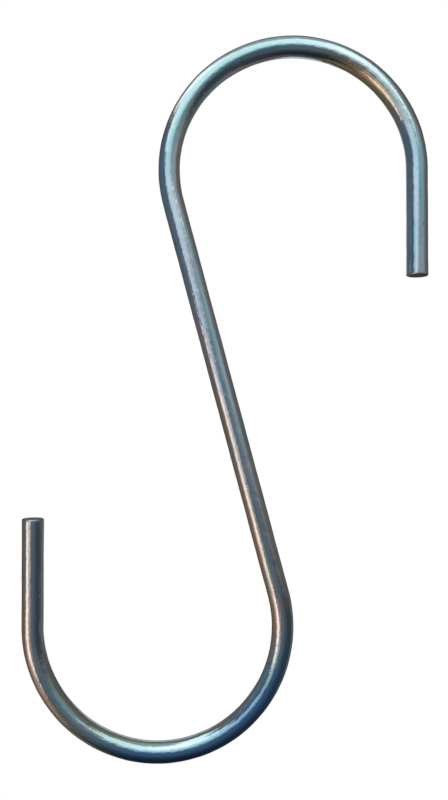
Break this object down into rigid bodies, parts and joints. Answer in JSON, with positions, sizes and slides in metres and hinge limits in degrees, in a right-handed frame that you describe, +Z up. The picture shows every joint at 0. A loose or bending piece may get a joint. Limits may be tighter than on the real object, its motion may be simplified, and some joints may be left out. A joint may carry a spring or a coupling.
{
  "type": "s hook",
  "caption": "Round plated wire bent into an S, with an open hook and a straight tail at each end, for hanging things from a rail.",
  "frame": {"origin": "inside top of the upper bend, where the hook hangs on a rail, on the wire's middle plane", "axes": "+Z up along the hung hook, +X from the shank towards the upper tail, +Y across the thickness of the wire"},
  "size_m": [0.093, 0.005, 0.1665],
  "materials": {
    "zinc_plate": "bright zinc plate with a clear blue passivate over drawn steel wire"
  },
  "bodies": {
    "root": {"s_hook": "zinc_plate"}
  },
  "joints": []
}
